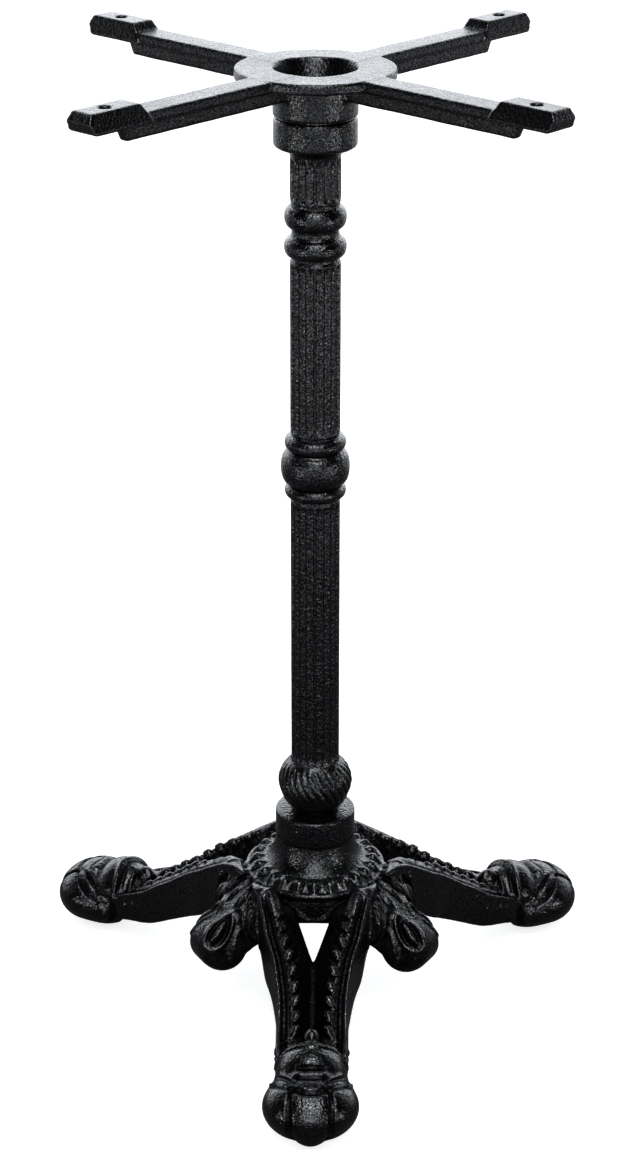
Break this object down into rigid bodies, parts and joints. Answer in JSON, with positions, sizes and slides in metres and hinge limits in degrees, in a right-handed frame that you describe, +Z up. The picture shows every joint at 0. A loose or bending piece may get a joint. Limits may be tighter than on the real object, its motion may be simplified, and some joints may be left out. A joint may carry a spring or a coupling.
{
  "type": "pedestal table base",
  "caption": "Cast pedestal table base: fluted column, cross-arm top spider and a scrolled foot casting on lion paws with levelling glides.",
  "frame": {"origin": "centre of the tabletop screw pattern, in the plane of the pads' tops", "axes": "+Z up out of the pads, the front leg points to -Y (turned 2.4 degrees clockwise about Z with the column), the spider's arms lie at 45 degrees between X and Y"},
  "size_m": [0.4131, 0.3924, 0.72],
  "materials": {
    "black_iron": "semi-gloss black paint over a grained iron casting",
    "zinc_steel": "bright zinc plating",
    "glide_plastic": "moulded black plastic"
  },
  "bodies": {
    "root": {"top_spider": "black_iron", "column": "black_iron", "paw_base": "black_iron", "tie_rod": "zinc_steel", "top_washer": "zinc_steel", "top_spring_washer": "zinc_steel", "top_nut": "zinc_steel", "bottom_washer": "zinc_steel", "bottom_spring_washer": "zinc_steel", "bottom_nut": "zinc_steel"},
    "front_glide": {"glide_front": "glide_plastic"},
    "front_stud": {"stud_front": "zinc_steel"},
    "left_glide": {"glide_left": "glide_plastic"},
    "left_stud": {"stud_left": "zinc_steel"},
    "right_glide": {"glide_right": "glide_plastic"},
    "right_stud": {"stud_right": "zinc_steel"}
  },
  "joints": [
    {"name": "front_foot_height", "type": "slide", "parent": "root", "child": "front_glide", "axis": [0, 0, -1], "range_m": [-0.003, 0.01]},
    {"name": "front_stud_turn", "type": "hinge", "parent": "front_glide", "child": "front_stud", "pos_m": [-0.00817, -0.19483, -0.72], "axis": [0, 0, -1], "range_deg": [-866, 2882]},
    {"name": "left_foot_height", "type": "slide", "parent": "root", "child": "left_glide", "axis": [0, 0, -1], "range_m": [-0.003, 0.01]},
    {"name": "left_stud_turn", "type": "hinge", "parent": "left_glide", "child": "left_stud", "pos_m": [-0.16464, 0.10449, -0.72], "axis": [0, 0, -1], "range_deg": [-866, 2882]},
    {"name": "right_foot_height", "type": "slide", "parent": "root", "child": "right_glide", "axis": [0, 0, -1], "range_m": [-0.003, 0.01]},
    {"name": "right_stud_turn", "type": "hinge", "parent": "right_glide", "child": "right_stud", "pos_m": [0.17281, 0.09034, -0.72], "axis": [0, 0, -1], "range_deg": [-866, 2882]}
  ],
  "couplings": [
    {"joint": "front_stud_turn", "follows": "front_foot_height", "rad_per_m": 5026.5},
    {"joint": "left_stud_turn", "follows": "left_foot_height", "rad_per_m": 5026.5},
    {"joint": "right_stud_turn", "follows": "right_foot_height", "rad_per_m": 5026.5}
  ]
}
